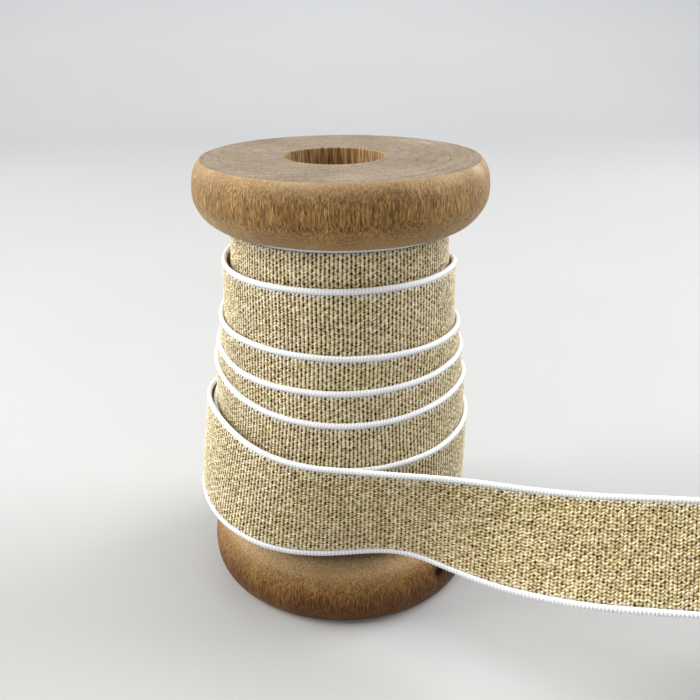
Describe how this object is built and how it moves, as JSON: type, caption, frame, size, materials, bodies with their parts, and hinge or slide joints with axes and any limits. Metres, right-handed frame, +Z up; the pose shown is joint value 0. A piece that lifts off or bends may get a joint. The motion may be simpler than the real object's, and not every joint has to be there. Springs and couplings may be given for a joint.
{
  "type": "ribbon spool",
  "caption": "Turned wooden spool wound with narrow gold woven elastic ribbon, white corded edges and a free tail that peels and bends.",
  "frame": {"origin": "centre of the spindle bore at the spool's bottom face", "axes": "+Z up along the spindle bore; -Y to the viewer; the free tail leaves the winding at the front (-Y) and runs to +X"},
  "size_m": [0.1194, 0.0749, 0.0783],
  "materials": {
    "wood": "bare turned hardwood, fine open grain",
    "tape": "paper tape",
    "gold_ribbon": "metallic woven elastic",
    "white_edge": "ribbed white cord"
  },
  "bodies": {
    "root": {"spool_body": "wood", "anchor_tape": "tape", "inner_winding": "gold_ribbon", "wound_band": "gold_ribbon", "wound_upper_edge": "white_edge", "wound_lower_edge": "white_edge"},
    "tail_root": {"tail_root_band": "gold_ribbon", "tail_root_upper_edge": "white_edge", "tail_root_lower_edge": "white_edge"},
    "tail_mid": {"tail_mid_band": "gold_ribbon", "tail_mid_upper_edge": "white_edge", "tail_mid_lower_edge": "white_edge"},
    "tail_end": {"tail_end_band": "gold_ribbon", "tail_end_upper_edge": "white_edge", "tail_end_lower_edge": "white_edge"}
  },
  "joints": [
    {"name": "tail_peel", "type": "hinge", "parent": "root", "child": "tail_root", "pos_m": [0.00498, -0.02455, 0.02288], "axis": [0.0091, -0.0867, 0.9962], "range_deg": [-75, 4]},
    {"name": "tail_bend_mid", "type": "hinge", "parent": "tail_root", "child": "tail_mid", "pos_m": [0.03691, -0.03594, 0.02397], "axis": [0.0903, 0.5192, 0.8499], "range_deg": [-45, 25]},
    {"name": "tail_bend_end", "type": "hinge", "parent": "tail_mid", "child": "tail_end", "pos_m": [0.07007, -0.04343, 0.02487], "axis": [0.1614, 0.6808, 0.7144], "range_deg": [-45, 25]}
  ],
  "couplings": [
    {"joint": "tail_bend_end", "follows": "tail_bend_mid", "ratio": 1}
  ]
}
